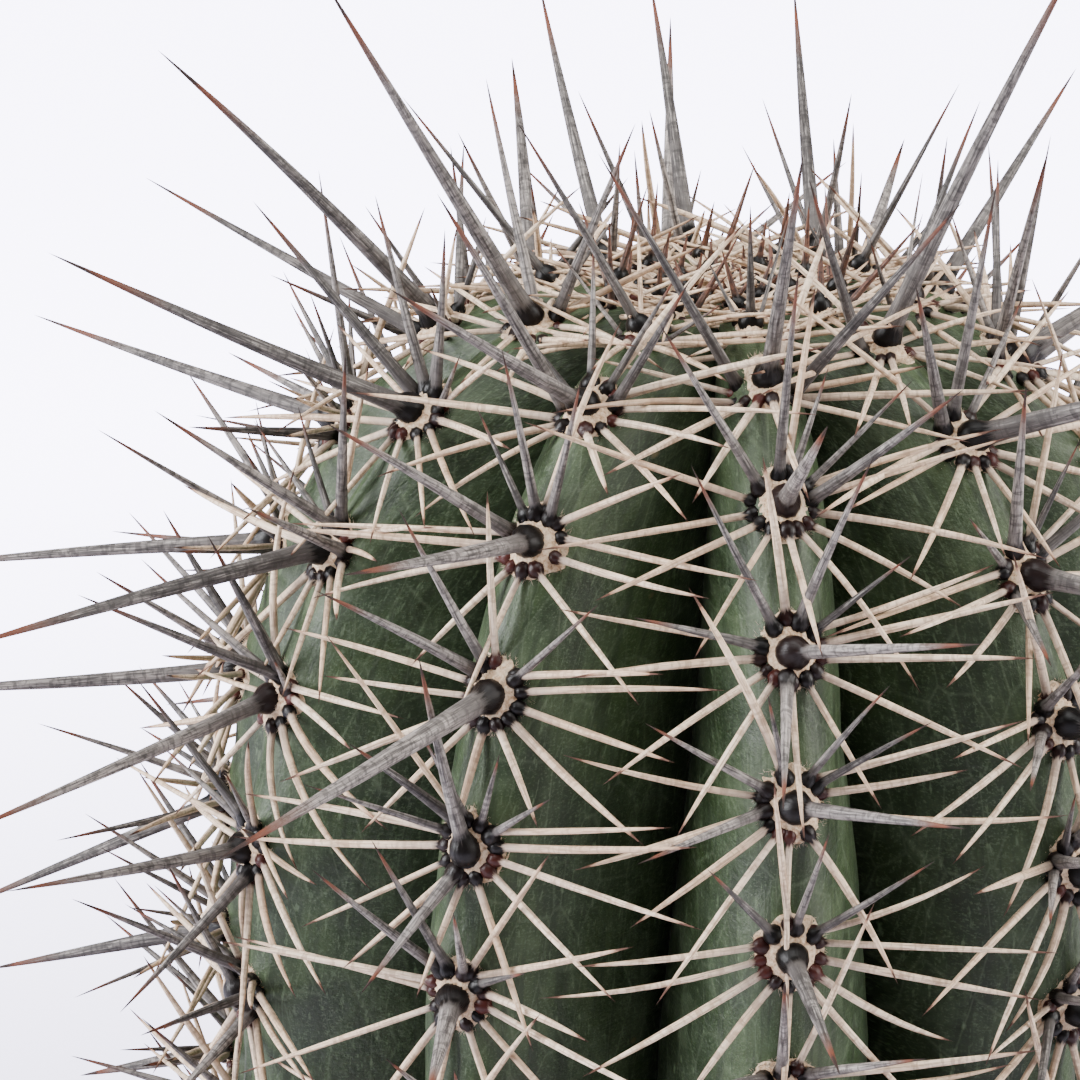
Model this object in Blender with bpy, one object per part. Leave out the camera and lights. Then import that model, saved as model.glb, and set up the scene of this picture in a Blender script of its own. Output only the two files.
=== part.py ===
"""A potted saguaro cactus: one ribbed stem, a row of spine clusters on each rib, soil and a clay pot.

Metres, +Z up. The origin is the bottom centre of the pot, and -Y is the front.
"""

import math

import bmesh
import bpy
import numpy as np
from mathutils import Vector

for leftover in list(bpy.data.objects):
    bpy.data.objects.remove(leftover, do_unlink=True)

# ---- Driving dimensions ----

# Stem. A crest is the outermost line of a rib, and the crest circle runs through all of them.
RIB_COUNT = 10
FRONT_RIB_TURN = math.radians(9.5)
CREST_RADIUS = 0.062
RIB_DEPTH = 0.024
CROWN_RIB_DEPTH = 0.028
CREST_BREADTH = 0.42
NARROW_SIDE = math.radians(10)
BROAD_SIDE = math.radians(24)
STEM_HEIGHT = 0.190
CROWN_HEIGHT = 0.076
CROWN_FLATNESS = 2.9
CROWN_SHOULDER = 1.94
BASE_TAPER = 0.005
STEM_BEND = 0.004
BURIED_DEPTH = 0.014
BURIED_TAPER = 0.014

# The ribs change from the crown's shape to the lower one between these drops below the apex.
CROWN_SHAPE_DROP = 0.042
LOWER_SHAPE_DROP = 0.082

# The grooves don't lie quite midway between the crests. In turn from the one right of the front rib: how
# many degrees each is off, near the crown and lower down.
GROOVE_TURNS = (
    (-5.0, 4.5),
    (1.5, -1.0),
    (-2.0, -1.0),
    (2.0, 1.0),
    (-1.5, 1.0),
    (1.0, 2.0),
    (-2.0, 0.0),
    (1.0, -1.0),
    (4.5, 3.5),
    (6.5, 2.5),
)

# Areoles: the felt cushions along each crest that the spines grow from.
AREOLE_SPACING = 0.0172
AREOLE_HALF_LENGTH = 0.0046
AREOLE_HALF_WIDTH = 0.0042
AREOLE_RISE = 0.0010
FELT_LINE_HALF_WIDTH = 0.0005
FELT_LINE_RISE = 0.0005
YOUNG_ZONE = 0.034
YOUNGEST_AREOLE = 0.0065
LOWEST_AREOLE = 0.026

# Each rib grows at its own pace. In turn from the front one: how far below the young zone the first
# full-grown areole is, and the rib's spacing, both as shares of AREOLE_SPACING.
RIB_GROWTH = (
    (0.83, 0.98),
    (0.57, 1.00),
    (0.26, 0.99),
    (0.93, 1.01),
    (0.64, 1.00),
    (0.35, 1.01),
    (0.06, 1.02),
    (0.19, 1.05),
    (0.59, 1.09),
    (0.19, 1.01),
)

# Spines. Lengths are measured from the cushion, and angles from the cushion's outward direction.
CENTRAL_LENGTH = 0.056
OLD_CENTRAL_LENGTH = 0.034
FULL_LENGTH_TO = 0.085
OLD_LENGTH_FROM = 0.125
SIDE_LENGTH = 0.021
LOWER_LENGTH = 0.015
CENTRAL_DROOP = math.radians(25)
SIDE_LIFT = math.radians(38)
LOWER_DROOP = math.radians(52)
CENTRAL_SPREAD = 0.30
SIDE_SPREAD = 0.60
LOWER_SPREAD = 0.22

# Pot and soil. The pot's width follows from the stem and the ring of soil left round it.
SOIL_MARGIN = 0.022
SOIL_BELOW_RIM = 0.014
SOIL_MOUND = 0.003
POT_HEIGHT = 0.150
POT_FOOT_RADIUS = 0.064
POT_WALL = 0.007
POT_FLOOR = 0.009
RIM_BAND_HEIGHT = 0.030
RIM_BAND_PROUD = 0.004
EDGE_ROUND = 0.0018
DRAIN_RADIUS = 0.009

# Clearance between pieces that touch.
GAP = 0.0003

# Mesh resolution.
POINTS_PER_RIB = 6
FIRST_RING_STEP = 0.0035
RING_STEP_GROWTH = 1.16
LONGEST_RING_STEP = 0.019

RIB_PITCH = 2 * math.pi / RIB_COUNT
AROUND = RIB_COUNT * POINTS_PER_RIB
SOIL_TOP = POT_HEIGHT - SOIL_BELOW_RIM
APEX_HEIGHT = SOIL_TOP + STEM_HEIGHT
POT_TOP_RADIUS = CREST_RADIUS + SOIL_MARGIN + POT_WALL


# ---- Shared shape of the stem ----


def crest_curve():
    """Distance along a crest from the apex, its radius and its drop, at closely spaced points."""
    turn = np.linspace(0, math.pi / 2, 400)
    radius = CREST_RADIUS * np.sin(turn) ** (2 / CROWN_FLATNESS)
    drop = CROWN_HEIGHT * (1 - np.cos(turn) ** (2 / CROWN_SHOULDER))
    share = np.linspace(0, 1, 60)[1:]
    radius = np.append(radius, CREST_RADIUS - BASE_TAPER * share**2)
    drop = np.append(drop, CROWN_HEIGHT + (STEM_HEIGHT - CROWN_HEIGHT) * share)
    along = np.append(0, np.cumsum(np.hypot(np.diff(radius), np.diff(drop))))
    return along, radius, drop


ALONG, CREST_R, CREST_DROP = crest_curve()
CREST_LENGTH = float(ALONG[-1])


def crest(distance):
    """Radius and height of a crest at this distance from the apex."""
    radius = float(np.interp(distance, ALONG, CREST_R))
    return radius, APEX_HEIGHT - float(np.interp(distance, ALONG, CREST_DROP))


def crest_normal(distance):
    """Outward direction of a crest there, as its radial and upward shares."""
    step = 0.001
    near, far = crest(max(distance - step, 0)), crest(min(distance + step, CREST_LENGTH))
    run = math.hypot(far[0] - near[0], far[1] - near[1])
    return (near[1] - far[1]) / run, (far[0] - near[0]) / run


def place(radius, azimuth, height):
    """The point at this radius and azimuth from the front, moved aside as the stem bends with height."""
    rise = max(height - SOIL_TOP, 0) / STEM_HEIGHT
    x = radius * math.sin(azimuth) + STEM_BEND * rise**2
    return Vector((x, -radius * math.cos(azimuth), height))


def crown_share(height):
    """How much of the crown's shape the ribs have at a height, from 0 to 1."""
    drop = APEX_HEIGHT - height
    return min(max((LOWER_SHAPE_DROP - drop) / (LOWER_SHAPE_DROP - CROWN_SHAPE_DROP), 0), 1)


def groove_turn(rib, height):
    """How far the groove right of a rib is turned from the middle, at a height."""
    crown, lower = GROOVE_TURNS[rib % len(GROOVE_TURNS)]
    share = crown_share(height)
    return math.radians(crown * share + lower * (1 - share))


def rib_fall(sweep, half_turn):
    """How deep the skin lies under the crest circle, from 0 at the crest to 1 in the groove.

    A narrow side of a rib is round like a finger, and a broad one slopes straight to the groove.
    """
    round_side = 1 - math.cos(sweep)
    slope_end = math.hypot(1, CREST_BREADTH) - CREST_BREADTH
    sloped_side = (math.hypot(math.sin(sweep), CREST_BREADTH) - CREST_BREADTH) / slope_end
    roundness = (BROAD_SIDE - half_turn) / (BROAD_SIDE - NARROW_SIDE)
    roundness = min(max(roundness, 0), 1)
    return roundness * round_side + (1 - roundness) * sloped_side


def rib_outline(crest_radius, height, clearance=0.0):
    """One level outline of the ribbed stem: lobes that meet in narrow grooves."""
    depth = RIB_DEPTH + (CROWN_RIB_DEPTH - RIB_DEPTH) * crown_share(height)
    depth *= crest_radius / CREST_RADIUS
    points = []
    for index in range(AROUND):
        rib, part = divmod(index, POINTS_PER_RIB)
        sweep = math.pi * (part / POINTS_PER_RIB - 0.5)
        shift = groove_turn(rib, height) if sweep > 0 else -groove_turn(rib - 1, height)
        half_turn = RIB_PITCH / 2 + shift
        azimuth = FRONT_RIB_TURN + RIB_PITCH * rib + half_turn * math.sin(sweep)
        radius = crest_radius - depth * rib_fall(sweep, half_turn) + clearance
        points.append(place(radius, azimuth, height))
    return points


def buried_outline(share, clearance=0.0):
    """An outline of the stem's foot, from the soil's surface (0) to its rounded end (1)."""
    radius = crest(CREST_LENGTH)[0] - BURIED_TAPER * share**2
    return rib_outline(radius, SOIL_TOP - (BURIED_DEPTH + clearance) * share, clearance)


# ---- Meshes and materials ----


def material(name, colour, roughness):
    made = bpy.data.materials.new(name)
    made.use_nodes = True
    shader = made.node_tree.nodes["Principled BSDF"]
    shader.inputs["Base Color"].default_value = (*colour, 1)
    shader.inputs["Roughness"].default_value = roughness
    shader.inputs["Metallic"].default_value = 0
    made.diffuse_color = (*colour, 1)
    return made


def finish(name, shape, finish_material, sharp_angle=math.radians(40)):
    """Makes an object of a bmesh, with its faces turned outward and shaded smooth."""
    bmesh.ops.recalc_face_normals(shape, faces=shape.faces)
    mesh = bpy.data.meshes.new(name)
    shape.to_mesh(mesh)
    shape.free()
    mesh.shade_smooth()
    mesh.set_sharp_from_angle(angle=sharp_angle)
    mesh.materials.append(finish_material)
    made = bpy.data.objects.new(name, mesh)
    bpy.context.scene.collection.objects.link(made)
    return made


def join_rings(shape, lower, upper):
    """A band of faces between two rings of as many points."""
    count = len(lower)
    for index in range(count):
        after = (index + 1) % count
        shape.faces.new((lower[index], lower[after], upper[after], upper[index]))


def close_ring(shape, ring, centre):
    """A fan of faces from a ring to one point."""
    middle = shape.verts.new(centre)
    for index, vertex in enumerate(ring):
        shape.faces.new((vertex, ring[(index + 1) % len(ring)], middle))


def lofted(outlines, first_centre, last_centre):
    """A closed solid through a run of outlines, closed by a fan at each end."""
    shape = bmesh.new()
    rings = [[shape.verts.new(point) for point in outline] for outline in outlines]
    for lower, upper in zip(rings, rings[1:]):
        join_rings(shape, lower, upper)
    close_ring(shape, rings[0], first_centre)
    close_ring(shape, rings[-1], last_centre)
    return shape


def circle(radius, height):
    """Points on a level circle, at the azimuths of the stem's outlines."""
    points = []
    for index in range(AROUND):
        rib, part = divmod(index, POINTS_PER_RIB)
        azimuth = FRONT_RIB_TURN + RIB_PITCH * (rib + part / POINTS_PER_RIB - 0.5)
        points.append(Vector((radius * math.sin(azimuth), -radius * math.cos(azimuth), height)))
    return points


# ---- Stem ----


def ring_distances():
    """Where the stem's outlines lie along the crest, closest together at the apex."""
    distances = [FIRST_RING_STEP]
    step = FIRST_RING_STEP
    while distances[-1] + step < CREST_LENGTH - 0.4 * LONGEST_RING_STEP:
        distances.append(distances[-1] + step)
        step = min(step * RING_STEP_GROWTH, LONGEST_RING_STEP)
    return distances + [CREST_LENGTH]


def make_stem():
    outlines = [rib_outline(*crest(distance)) for distance in ring_distances()]
    outlines += [buried_outline(share) for share in (0.5, 0.85, 1)]
    shape = lofted(outlines, place(0, 0, APEX_HEIGHT), Vector((0, 0, SOIL_TOP - BURIED_DEPTH)))
    finish("stem", shape, material("waxy_green_skin", (0.055, 0.105, 0.045), 0.5))


# ---- Rows of spine clusters ----


def areole_distances(rib):
    """Distances of a rib's areoles from the apex. They crowd together where the stem is young."""
    first_share, spacing_share = RIB_GROWTH[rib % len(RIB_GROWTH)]
    first = YOUNG_ZONE + first_share * AREOLE_SPACING
    spacing = spacing_share * AREOLE_SPACING
    reach = int(CREST_LENGTH / spacing) + 3
    distances = []
    for index in range(-reach, reach + 1):
        grown = first + index * spacing
        distance = grown
        if grown < YOUNG_ZONE:
            distance = YOUNG_ZONE * math.exp(grown / YOUNG_ZONE - 1)
        if YOUNGEST_AREOLE < distance < CREST_LENGTH - LOWEST_AREOLE:
            distances.append(distance)
    return distances


def central_length(distance):
    """Longest a little below the crown, and shorter on the old clusters and on the youngest."""
    age = (distance - FULL_LENGTH_TO) / (OLD_LENGTH_FROM - FULL_LENGTH_TO)
    length = CENTRAL_LENGTH + (OLD_CENTRAL_LENGTH - CENTRAL_LENGTH) * min(max(age, 0), 1)
    return length * min(0.35 + distance / YOUNG_ZONE, 1)


def spine_tip(azimuth, distance, length, lift, spread):
    """The tip of a spine, which stays inside its own rib's slice of the space round the stem."""
    radius, height = crest(distance)
    outward = crest_normal(distance)
    elevation = math.atan2(outward[1], outward[0]) + lift
    tip_radius = radius + length * math.cos(elevation)
    turn = spread * RIB_PITCH / 2
    return place(tip_radius, azimuth + turn, height + length * math.sin(elevation))


def felt_section(shape, azimuth, distance, half_width, rise):
    """Four points across the felt: the crest side, the left edge, the top and the right edge."""
    radius, height = crest(distance)
    out, up = crest_normal(distance)
    across = Vector((math.cos(azimuth), math.sin(azimuth), 0))
    lifts = (GAP, GAP + rise / 2, GAP + rise, GAP + rise / 2)
    sides = (0, -half_width, 0, half_width)
    points = []
    for lift, side in zip(lifts, sides):
        point = place(radius + out * lift, azimuth, height + up * lift) + across * side
        points.append(shape.verts.new(point))
    return points


def join_sections(shape, upper, lower):
    """Joins two felt sections and returns the two faces on top, left and right."""
    faces = []
    for index in range(4):
        after = (index + 1) % 4
        faces.append(shape.faces.new((upper[index], upper[after], lower[after], lower[index])))
    return faces[1], faces[2]


def raise_spine(shape, face, tip):
    """Draws a face out to a point."""
    corners = list(face.verts)
    shape.faces.remove(face)
    point = shape.verts.new(tip)
    for index, corner in enumerate(corners):
        shape.faces.new((corner, corners[(index + 1) % len(corners)], point))


def make_spine_row(rib, spine_material):
    """A rib's spine clusters: felt cushions on a thin felt line, each with its four strongest spines."""
    azimuth = FRONT_RIB_TURN + rib * RIB_PITCH
    shape = bmesh.new()
    distances = areole_distances(rib)
    previous = None
    for order, distance in enumerate(distances):
        after = distances[min(order + 1, len(distances) - 1)]
        before = distances[max(order - 1, 0)]
        spacing = (after - before) / (2 if 0 < order < len(distances) - 1 else 1)
        half_slice = crest(distance)[0] * math.tan(RIB_PITCH / 2)
        half_width = min(AREOLE_HALF_WIDTH, 0.6 * half_slice)
        half_length = min(AREOLE_HALF_LENGTH, 0.34 * spacing)
        scale = half_width / AREOLE_HALF_WIDTH
        rise = FELT_LINE_RISE + AREOLE_RISE * scale
        line = (FELT_LINE_HALF_WIDTH, FELT_LINE_RISE)
        cushion = (half_width, rise)
        layout = ((-1, line), (-0.6, cushion), (0, cushion), (0.6, cushion), (1, line))
        sections = [
            felt_section(shape, azimuth, distance + share * half_length, *size)
            for share, size in layout
        ]
        if previous:
            join_sections(shape, previous, sections[0])
        else:
            shape.faces.new(sections[0])
        join_sections(shape, sections[0], sections[1])
        upper_faces = join_sections(shape, sections[1], sections[2])
        lower_faces = join_sections(shape, sections[2], sections[3])
        join_sections(shape, sections[3], sections[4])
        previous = sections[4]

        # The longest spine leans to one side, and to the other on the next cushion.
        lean = -1 if (order + rib) % 2 else 1
        main_face, other_face = lower_faces[::lean] if lean < 0 else lower_faces
        main_side = -1 if lean > 0 else 1
        near_soil = min((CREST_LENGTH - distance) / (5 * AREOLE_SPACING), 1)
        droop = CENTRAL_DROOP * min(near_soil, 0.4 + distance / YOUNG_ZONE)
        young = min(distance / YOUNG_ZONE, 1)
        central = spine_tip(azimuth, distance, central_length(distance), -droop, main_side * CENTRAL_SPREAD)
        lower = spine_tip(
            azimuth, distance, LOWER_LENGTH * young, -LOWER_DROOP * young, -main_side * LOWER_SPREAD
        )
        raise_spine(shape, main_face, central)
        raise_spine(shape, other_face, lower)
        for face, side in zip(upper_faces, (-1, 1)):
            raise_spine(
                shape,
                face,
                spine_tip(azimuth, distance, SIDE_LENGTH * young, SIDE_LIFT * young, side * SIDE_SPREAD),
            )
    shape.faces.new(previous)
    finish(f"spine_row_{rib + 1:02d}", shape, spine_material, math.radians(30))


# ---- Soil ----


def pot_outer_radius(height):
    return POT_FOOT_RADIUS + (POT_TOP_RADIUS - POT_FOOT_RADIUS) * height / POT_HEIGHT


def pot_inner_radius(height):
    return pot_outer_radius(height) - POT_WALL


def make_soil():
    """Soil fills the pot up to the stem, and holds its foot in a socket of the same outline."""
    floor = POT_FLOOR + GAP
    edge = SOIL_TOP - SOIL_MOUND
    outlines = [
        circle(pot_inner_radius(floor) - GAP, floor),
        circle(pot_inner_radius(edge) - GAP, edge),
        circle(pot_inner_radius(edge) - GAP - SOIL_MARGIN / 3, SOIL_TOP - SOIL_MOUND / 3),
    ]
    outlines += [buried_outline(share, GAP) for share in (0, 0.5, 0.85, 1)]
    socket_floor = Vector((0, 0, SOIL_TOP - BURIED_DEPTH - GAP))
    shape = lofted(outlines, Vector((0, 0, floor)), socket_floor)
    finish("soil", shape, material("gritty_potting_soil", (0.075, 0.05, 0.033), 0.95))


# ---- Pot ----


def make_pot():
    """A plain thrown clay pot with a band round its rim and a drain hole, turned from one profile."""
    band_foot = POT_HEIGHT - RIM_BAND_HEIGHT
    band_radius = POT_TOP_RADIUS + RIM_BAND_PROUD
    rim_inner = pot_inner_radius(POT_HEIGHT)
    foot_inner = pot_inner_radius(POT_FLOOR)
    profile = (
        (DRAIN_RADIUS, 0),
        (POT_FOOT_RADIUS - EDGE_ROUND, 0),
        (POT_FOOT_RADIUS, EDGE_ROUND),
        (pot_outer_radius(band_foot), band_foot),
        (band_radius - EDGE_ROUND, band_foot),
        (band_radius, band_foot + EDGE_ROUND),
        (band_radius, POT_HEIGHT - EDGE_ROUND),
        (band_radius - EDGE_ROUND, POT_HEIGHT),
        (rim_inner + EDGE_ROUND, POT_HEIGHT),
        (pot_inner_radius(POT_HEIGHT - EDGE_ROUND), POT_HEIGHT - EDGE_ROUND),
        (foot_inner, POT_FLOOR),
        (DRAIN_RADIUS, POT_FLOOR),
    )
    shape = bmesh.new()
    rings = [[shape.verts.new(point) for point in circle(*step)] for step in profile]
    for lower, upper in zip(rings, rings[1:] + rings[:1]):
        join_rings(shape, lower, upper)
    finish("pot", shape, material("unglazed_terracotta", (0.42, 0.16, 0.08), 0.85), math.radians(35))


make_pot()
make_soil()
make_stem()
bone_and_grey_spines = material("bone_and_grey_spines", (0.30, 0.27, 0.23), 0.6)
for rib_number in range(RIB_COUNT):
    make_spine_row(rib_number, bone_and_grey_spines)
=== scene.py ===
"""A potted saguaro: a ribbed stem with its rows of spine clusters, in gritty soil and a plain clay pot.

Metres, +Z up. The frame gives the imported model, and each piece here is shaped over it.
"""

import math
from collections import namedtuple
from itertools import combinations

import bpy
import numpy as np
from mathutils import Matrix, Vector, noise


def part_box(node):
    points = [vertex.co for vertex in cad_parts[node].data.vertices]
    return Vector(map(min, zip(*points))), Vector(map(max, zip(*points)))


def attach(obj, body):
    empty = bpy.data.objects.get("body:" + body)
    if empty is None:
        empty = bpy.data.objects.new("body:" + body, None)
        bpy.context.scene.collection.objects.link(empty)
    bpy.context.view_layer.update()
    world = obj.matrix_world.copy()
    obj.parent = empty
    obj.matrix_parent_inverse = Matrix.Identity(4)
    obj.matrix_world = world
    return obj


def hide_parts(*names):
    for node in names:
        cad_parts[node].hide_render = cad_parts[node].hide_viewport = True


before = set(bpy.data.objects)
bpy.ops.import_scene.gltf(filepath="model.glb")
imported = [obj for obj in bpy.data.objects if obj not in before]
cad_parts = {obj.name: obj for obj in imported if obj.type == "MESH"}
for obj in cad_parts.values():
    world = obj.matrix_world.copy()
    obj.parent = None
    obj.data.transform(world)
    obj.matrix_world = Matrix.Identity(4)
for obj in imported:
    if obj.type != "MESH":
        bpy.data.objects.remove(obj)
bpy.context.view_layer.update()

# ---- Stem ----
# A young saguaro's stem is one column of juicy flesh, pleated into ribs so that it can swell. Its skin
# is a tough dark green cuticle under a thin wax. It grew in one piece, and its foot stands in the soil.

RIB_COUNT = 10
RIB_PITCH = 2 * math.pi / RIB_COUNT
FRONT_RIB_TURN = math.radians(9.5)
CREST_RADIUS = 0.062
RIB_DEPTH = 0.024
CROWN_RIB_DEPTH = 0.028
CREST_BREADTH = 0.42
CROWN_HEIGHT = 0.076
CROWN_FLATNESS = 2.9
CROWN_SHOULDER = 1.94
BASE_TAPER = 0.005
STEM_BEND = 0.004
APEX_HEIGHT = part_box("stem")[1].z
SOIL_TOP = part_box("soil")[1].z
STEM_HEIGHT = APEX_HEIGHT - SOIL_TOP
BURIED = 0.008
MM = 0.001

AREOLE_SPACING = 0.0172
YOUNG_ZONE = 0.034
YOUNGEST_AREOLE = 0.0035
LOWEST_AREOLE = 0.026
# In turn from the front rib: how far along its first full-grown areole is, and its spacing, as shares of
# the usual spacing.
RIB_GROWTH = (
    (0.83, 0.98), (0.57, 1.00), (0.26, 0.99), (0.93, 1.01), (0.64, 1.00),
    (0.35, 1.01), (0.06, 1.02), (0.19, 1.05), (0.59, 1.09), (0.19, 1.01),
)
# The grooves don't lie quite midway between the crests. In turn from the one right of the front rib: how
# many degrees each is off, near the crown and lower down.
GROOVE_TURNS = (
    (-5.0, 4.5), (1.5, -1.0), (-2.0, -1.0), (2.0, 1.0), (-1.5, 1.0),
    (1.0, 2.0), (-2.0, 0.0), (1.0, -1.0), (4.5, 3.5), (6.5, 2.5),
)
CROWN_SHAPE_ABOVE = 0.284
LOWER_SHAPE_BELOW = 0.244


def crest_curve():
    """Distance along a crest from the apex, its radius and its drop, at closely spaced points."""
    turn = np.linspace(0, math.pi / 2, 400)
    radius = CREST_RADIUS * np.sin(turn) ** (2 / CROWN_FLATNESS)
    drop = CROWN_HEIGHT * (1 - np.cos(turn) ** (2 / CROWN_SHOULDER))
    share = np.linspace(0, 1, 60)[1:]
    radius = np.append(radius, CREST_RADIUS - BASE_TAPER * share**2)
    drop = np.append(drop, CROWN_HEIGHT + (STEM_HEIGHT - CROWN_HEIGHT) * share)
    along = np.append(0, np.cumsum(np.hypot(np.diff(radius), np.diff(drop))))
    return along, radius, drop


ALONG, CREST_R, CREST_DROP = crest_curve()
CREST_LENGTH = float(ALONG[-1])
# The mounds and the felt stand out from the skin as far as the crest circle, which lies this far off it.
SKIN_INSET = 1.3 * MM
# The growing point is sunk a little below the youngest ribs.
APEX_DIP = 3.0 * MM
APEX_DIP_REACH = 18 * MM


def crest(distance):
    """Radius and height of a crest at this distance from the apex."""
    radius = np.interp(distance, ALONG, CREST_R)
    dip = APEX_DIP * np.exp(-((radius / APEX_DIP_REACH) ** 2))
    inset = SKIN_INSET * np.clip(distance / YOUNG_ZONE, 0, 1)
    return radius - inset, APEX_HEIGHT - np.interp(distance, ALONG, CREST_DROP) - dip


def place(radius, azimuth, height):
    """Points at this radius and azimuth from the front, moved aside as the stem bends with height."""
    rise = np.maximum(height - SOIL_TOP, 0) / STEM_HEIGHT
    x = radius * np.sin(azimuth) + STEM_BEND * rise**2
    y = -radius * np.cos(azimuth)
    return np.stack(np.broadcast_arrays(x, y, height), axis=-1)


def crown_share(height):
    """How much of the crown's shape the ribs have at a height, from 0 to 1."""
    return np.clip((height - LOWER_SHAPE_BELOW) / (CROWN_SHAPE_ABOVE - LOWER_SHAPE_BELOW), 0, 1)


def rib_shape(radius, height, ribs, sweeps):
    """Radii and azimuths round the ribs, a row for each height. A sweep of 90 degrees is a groove.

    A rib's narrow side is round like a finger, and its broad side slopes straight to the groove.
    """
    crown = crown_share(height)[:, None]
    turns = np.radians(np.array(GROOVE_TURNS))
    groove = turns[:, 0] * crown + turns[:, 1] * (1 - crown)
    half_turn = RIB_PITCH / 2 + np.where(sweeps > 0, groove[:, ribs], -groove[:, ribs - 1])
    across = np.sin(sweeps)
    round_side = 1 - np.cos(sweeps)
    reach = math.hypot(1, CREST_BREADTH) - CREST_BREADTH
    sloped_side = (np.hypot(across, CREST_BREADTH) - CREST_BREADTH) / reach
    roundness = np.clip((math.radians(24) - half_turn) / math.radians(14), 0, 1)
    depth = (RIB_DEPTH + (CROWN_RIB_DEPTH - RIB_DEPTH) * crown) * radius[:, None] / CREST_RADIUS
    surface = radius[:, None] - depth * (roundness * round_side + (1 - roundness) * sloped_side)
    return surface, FRONT_RIB_TURN + RIB_PITCH * ribs + half_turn * across, half_turn


def areoles(rib):
    """Each areole of a rib: its number, 0 for the first full-grown one, and its distance from the apex."""
    first_share, spacing_share = RIB_GROWTH[rib]
    found = []
    for number in range(-10, 20):
        grown = YOUNG_ZONE + (first_share + number * spacing_share) * AREOLE_SPACING
        distance = grown
        if grown < YOUNG_ZONE:
            distance = YOUNG_ZONE * math.exp(grown / YOUNG_ZONE - 1)
        if YOUNGEST_AREOLE < distance < CREST_LENGTH - LOWEST_AREOLE:
            found.append((number, distance))
    return found


def mesh_piece(name, points, quads, triangles=None):
    """A smooth mesh object of points and faces."""
    triangles = np.zeros((0, 3), int) if triangles is None else triangles
    mesh = bpy.data.meshes.new(name)
    mesh.vertices.add(len(points))
    mesh.vertices.foreach_set("co", np.asarray(points, np.float32).ravel())
    corners = np.concatenate([quads.ravel(), triangles.ravel()]).astype(np.int32)
    sizes = np.concatenate([np.full(len(quads), 4), np.full(len(triangles), 3)])
    starts = np.concatenate([[0], np.cumsum(sizes)[:-1]]).astype(np.int32)
    mesh.loops.add(len(corners))
    mesh.loops.foreach_set("vertex_index", corners)
    mesh.polygons.add(len(sizes))
    mesh.polygons.foreach_set("loop_start", starts)
    mesh.update(calc_edges=True)
    mesh.shade_smooth()
    piece = bpy.data.objects.new(name, mesh)
    bpy.context.scene.collection.objects.link(piece)
    return piece


def write_attribute(piece, name, values):
    """Stores a number or a vector for each point, which the material reads."""
    values = np.asarray(values, np.float32)
    kind, field = ("FLOAT_VECTOR", "vector") if values.ndim == 2 else ("FLOAT", "value")
    piece.data.attributes.new(name, kind, "POINT").data.foreach_set(field, values.ravel())


def grid_quads(rows, columns):
    """The faces between rows of points that each go round."""
    row, column = np.meshgrid(np.arange(rows - 1) * columns, np.arange(columns), indexing="ij")
    after = (column + 1) % columns
    corners = (row + column, row + after, row + columns + after, row + columns + column)
    return np.stack(corners, axis=-1).reshape(-1, 4)


def full_turn(steps):
    """Angles that go evenly once round."""
    return np.linspace(0, 2 * math.pi, steps, endpoint=False)


def fan(middle, first, sides):
    """The faces between a middle point and the ring of points that starts at the first."""
    around = np.arange(sides)
    return np.stack([np.full(sides, middle), first + around, first + (around + 1) % sides], axis=1)


def linear(hex_colour):
    """An sRGB hex colour as the linear colour that a shader takes."""
    channels = [int(hex_colour[start : start + 2], 16) / 255 for start in (1, 3, 5)]
    return tuple(c / 12.92 if c <= 0.04045 else ((c + 0.055) / 1.055) ** 2.4 for c in channels) + (1.0,)


def new_material(name):
    """A material and its shader."""
    material = bpy.data.materials.new(name)
    material.use_nodes = True
    return material, material.node_tree, material.node_tree.nodes["Principled BSDF"]


def feed(tree, node, inputs):
    """Fills inputs of a node. One takes a value, a hex colour or another node's output."""
    for name, value in inputs.items():
        if isinstance(value, bpy.types.NodeSocket):
            tree.links.new(value, node.inputs[name])
        else:
            node.inputs[name].default_value = linear(value) if isinstance(value, str) else value


def add_node(tree, kind, inputs, **settings):
    """Adds a node with its settings and inputs."""
    node = tree.nodes.new("ShaderNode" + kind)
    for name, value in settings.items():
        setattr(node, name, value)
    feed(tree, node, inputs)
    return node


def stored(tree, name, output="Vector"):
    """What write_attribute has stored on the mesh under this name."""
    return add_node(tree, "Attribute", {}, attribute_name=name).outputs[output]


def stretched(tree, where, scale):
    """A place scaled along each axis, which draws out whatever noise is read there."""
    return add_node(tree, "Mapping", {"Vector": where, "Scale": scale}).outputs["Vector"]


def maths(tree, operation, *values):
    """A sum done with values."""
    return add_node(tree, "Math", dict(enumerate(values)), operation=operation).outputs["Value"]


def toned(tree, value, stops):
    """The colour that a value picks from a row of colour stops."""
    node = add_node(tree, "ValToRGB", {"Fac": value})
    elements = node.color_ramp.elements
    for index, (position, colour) in enumerate(stops):
        element = elements[index] if index < 2 else elements.new(position)
        element.position = position
        element.color = linear(colour)
    return node.outputs["Color"]


def relief(tree, height, strength, depth, under=None):
    """Surface relief of this height pattern, on top of another relief if there is one."""
    settings = {"Strength": strength, "Distance": depth, "Height": height}
    if under is not None:
        settings["Normal"] = under
    return add_node(tree, "Bump", settings).outputs["Normal"]


def clouds(tree, where, width, detail, roughness):
    """Soft noise with patches of this width."""
    settings = {"Vector": where, "Scale": 1 / width, "Detail": detail, "Roughness": roughness}
    return add_node(tree, "TexNoise", settings).outputs["Fac"]


def graded(tree, value, start, end, most=1.0, least=0.0):
    """A number that goes from its least to its most as a value goes from start to end."""
    settings = {"Value": value, "From Min": start, "From Max": end, "To Min": least, "To Max": most}
    return add_node(tree, "MapRange", settings).outputs["Result"]


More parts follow.
